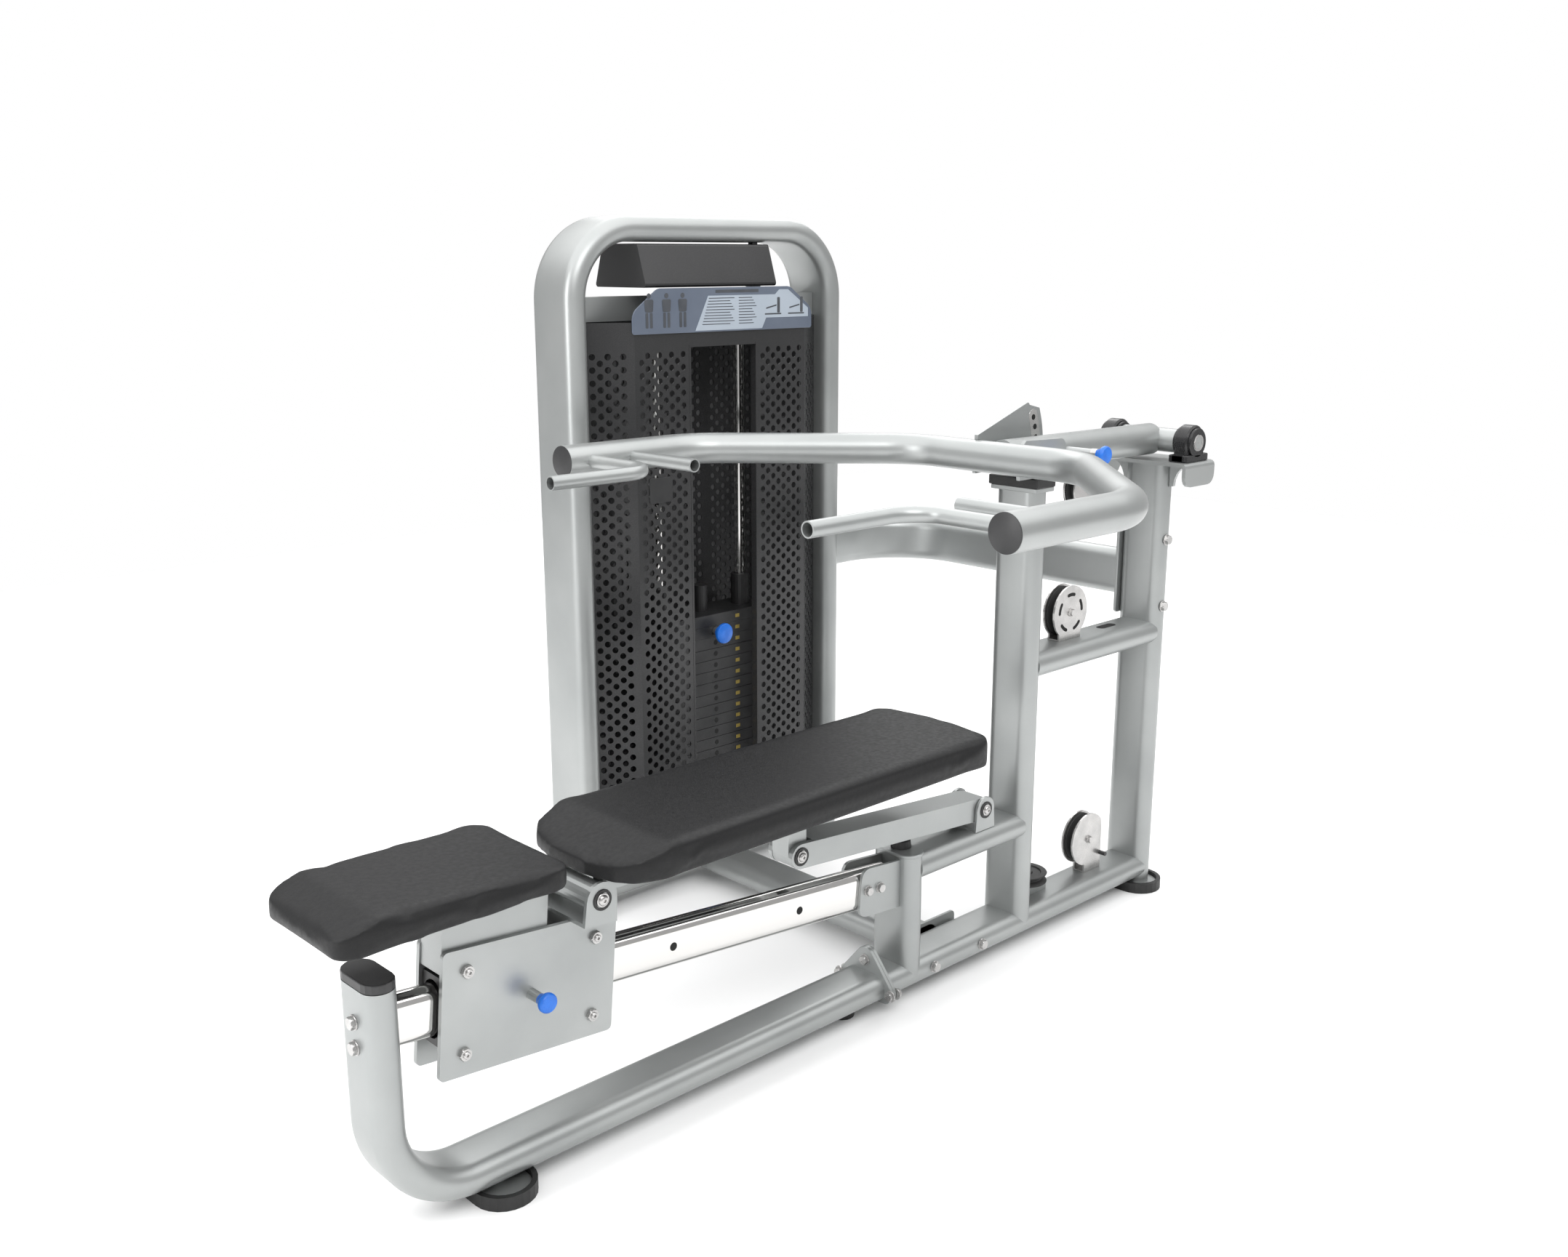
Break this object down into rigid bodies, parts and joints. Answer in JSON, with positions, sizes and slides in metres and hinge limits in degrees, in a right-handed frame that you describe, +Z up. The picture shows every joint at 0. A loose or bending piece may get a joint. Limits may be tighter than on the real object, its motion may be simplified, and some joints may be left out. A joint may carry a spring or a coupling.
{
  "type": "multi press machine",
  "caption": "Selectorised multi press: perforated weight tower, press arm with two pairs of handles, and a bench that slides along a chrome rail as its back rest reclines",
  "frame": {"origin": "on the floor, at the middle of the rear foot's underside, below the rear column that carries the press arm's pivot", "axes": "+X from the seat towards the rear end, +Y towards the weight tower, +Z up"},
  "size_m": [2.011, 1.345, 1.449],
  "materials": {
    "frame_silver": "satin silver-grey powder coat",
    "chrome": "polished chrome plate",
    "zinc": "bright zinc plate",
    "pad_black": "matt black grained upholstery vinyl over foam",
    "rubber_black": "moulded black rubber and nylon",
    "plastic_dark": "dark grey moulded plastic",
    "shroud_grey": "perforated sheet, near-black paint",
    "knob_blue": "blue moulded knob on a steel pin",
    "casting_black": "black enamelled casting",
    "plate_iron": "dark painted weight plates",
    "placard_grey": null
  },
  "bodies": {
    "frame": {"front_frame": "frame_silver", "post_cap": "plastic_dark", "rear_base": "frame_silver", "front_foot_rubber": "rubber_black", "rear_foot_rubber": "rubber_black", "middle_foot": "rubber_black", "short_post": "frame_silver", "bump_stop": "rubber_black", "middle_column": "frame_silver", "arm_stop_block": "rubber_black", "rear_column": "frame_silver", "upper_tube": "frame_silver", "mid_tube": "frame_silver", "bearing_bridge": "frame_silver", "near_bearing": "casting_black", "far_bearing": "casting_black", "cross_tube": "frame_silver", "side_tube": "frame_silver", "tower_frame": "frame_silver", "tower_base": "frame_silver", "tower_crossbar": "frame_silver", "tower_foot_left": "rubber_black", "tower_foot_right": "rubber_black", "guide_rod_left": "chrome", "guide_rod_right": "chrome", "front_shroud": "shroud_grey", "back_shroud": "shroud_grey", "hood": "frame_silver", "placard": "placard_grey", "weight_stack": "plate_iron", "upper_pulley_bracket": "zinc", "lower_pulley_bracket": "zinc", "slide_rail": "chrome", "rail_plate_near": "frame_silver", "rail_plate_far": "frame_silver"},
    "link": {"link_bar": "frame_silver"},
    "back_rest": {"back_pad": "pad_black", "back_frame": "frame_silver"},
    "carriage": {"carriage_plate_near": "frame_silver", "carriage_plate_far": "frame_silver", "rail_liner": "plastic_dark", "seat_carrier": "frame_silver", "hinge_fork": "frame_silver", "seat_pad": "pad_black"},
    "carriage_knob": {"carriage_pin": "knob_blue"},
    "press_lever": {"press_lever": "frame_silver", "stop_plate": "frame_silver"},
    "press_frame": {"press_frame": "frame_silver", "near_rear_handle": "frame_silver", "far_rear_handle": "frame_silver", "near_front_handle": "frame_silver", "far_front_handle": "frame_silver", "sector_plate": "frame_silver"},
    "start_knob": {"start_pin": "knob_blue"},
    "weight_carriage": {"top_weight": "plate_iron", "second_weight": "plate_iron"},
    "selector": {"selector_pin": "knob_blue"},
    "upper_pulley": {"upper_pulley": "rubber_black"},
    "lower_pulley": {"lower_pulley": "rubber_black"},
    "base_pulley": {"base_pulley": "rubber_black"}
  },
  "joints": [
    {"name": "link_hinge", "type": "hinge", "parent": "frame", "child": "link", "pos_m": [-0.5615, 0, 0.326], "axis": [0, 1, 0], "range_deg": [0, 66.3]},
    {"name": "back_rest_hinge", "type": "hinge", "parent": "link", "child": "back_rest", "pos_m": [-1.055, 0, 0.3657], "axis": [0, -1, 0], "range_deg": [0, 137.2]},
    {"name": "carriage_hinge", "type": "hinge", "parent": "back_rest", "child": "carriage", "pos_m": [-1.5107, 0, 0.4382], "axis": [0, 1, 0], "range_deg": [0, 70.9]},
    {"name": "carriage_pin_pull", "type": "slide", "parent": "carriage", "child": "carriage_knob", "axis": [0, -1, 0], "range_m": [0, 0.014], "stiffness_N_per_m": 300, "springref_m": -0.005},
    {"name": "press_lever_hinge", "type": "hinge", "parent": "frame", "child": "press_lever", "pos_m": [0, 0, 0.9985], "axis": [0, 1, 0], "range_deg": [0, 45]},
    {"name": "press_frame_hinge", "type": "hinge", "parent": "press_lever", "child": "press_frame", "pos_m": [-0.5185, 0, 1.0035], "axis": [0, 1, 0], "range_deg": [0, 19.8]},
    {"name": "start_pin_pull", "type": "slide", "parent": "press_lever", "child": "start_knob", "axis": [0, -1, 0], "range_m": [0, 0.012], "stiffness_N_per_m": 300, "springref_m": -0.005},
    {"name": "weight_slide", "type": "slide", "parent": "frame", "child": "weight_carriage", "axis": [0, 0, 1], "range_m": [0, 0.4005]},
    {"name": "selector_pull", "type": "slide", "parent": "weight_carriage", "child": "selector", "axis": [0, -1, 0], "range_m": [0, 0.06]},
    {"name": "upper_pulley_spin", "type": "hinge", "parent": "frame", "child": "upper_pulley", "pos_m": [-0.2746, 0.004, 0.669], "axis": [0, 1, 0], "range_deg": [0, 360]},
    {"name": "lower_pulley_spin", "type": "hinge", "parent": "frame", "child": "lower_pulley", "pos_m": [-0.1692, 0.006, 0.15], "axis": [0, 1, 0], "range_deg": [0, 360]},
    {"name": "base_pulley_spin", "type": "hinge", "parent": "frame", "child": "base_pulley", "pos_m": [-0.352, 0.022, 0.1115], "axis": [0, 0, 1], "range_deg": [0, 360]}
  ],
  "couplings": [
    {"joint": "back_rest_hinge", "follows": "link_hinge", "ratio": 2.0679},
    {"joint": "carriage_hinge", "follows": "link_hinge", "ratio": 1.0679},
    {"joint": "weight_slide", "follows": "press_lever_hinge", "m_per_rad": 0.5093},
    {"joint": "upper_pulley_spin", "follows": "press_lever_hinge", "ratio": 7.9},
    {"joint": "lower_pulley_spin", "follows": "press_lever_hinge", "ratio": 7.9},
    {"joint": "base_pulley_spin", "follows": "press_lever_hinge", "ratio": 7.9}
  ]
}
